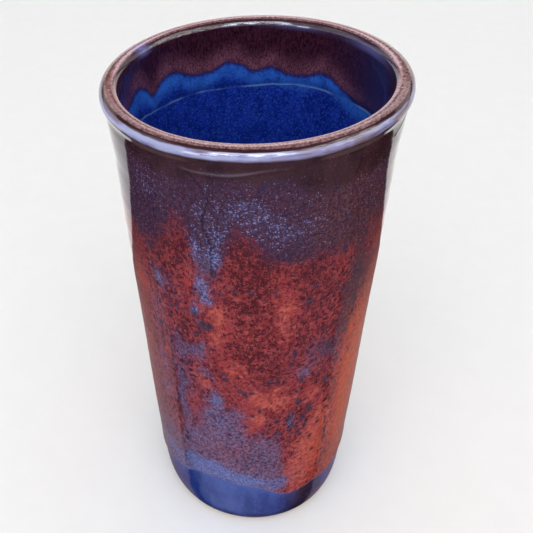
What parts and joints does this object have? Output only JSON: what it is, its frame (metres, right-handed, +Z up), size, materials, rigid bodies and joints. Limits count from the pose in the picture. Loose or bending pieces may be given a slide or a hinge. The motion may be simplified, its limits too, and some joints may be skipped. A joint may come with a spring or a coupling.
{
  "type": "vase",
  "caption": "Tall tapered round vase with a rolled rim, a foot ring and an open hollow, thrown in stoneware and glazed red over blue.",
  "frame": {"origin": "centre of the foot ring, on the table", "axes": "+Z up along the vase's axis; -Y is the front; +X is to the viewer's right"},
  "size_m": [0.1302, 0.1302, 0.254],
  "materials": {
    "clay": "bare fired stoneware, matt",
    "base_glaze": "gloss cobalt blue",
    "liner_glaze": "gloss cobalt blue with fine pale specks",
    "overglaze": "gloss mottled red, breaking purple and blue",
    "rim_glaze": "gloss, thin, breaking tan over the edge",
    "inner_overglaze": "gloss dark red, streaked"
  },
  "bodies": {
    "root": {"stoneware_body": "clay", "outer_base_glaze": "base_glaze", "inner_liner_glaze": "liner_glaze", "outer_overglaze": "overglaze", "rim_glaze": "rim_glaze", "inner_overglaze": "inner_overglaze"}
  },
  "joints": []
}
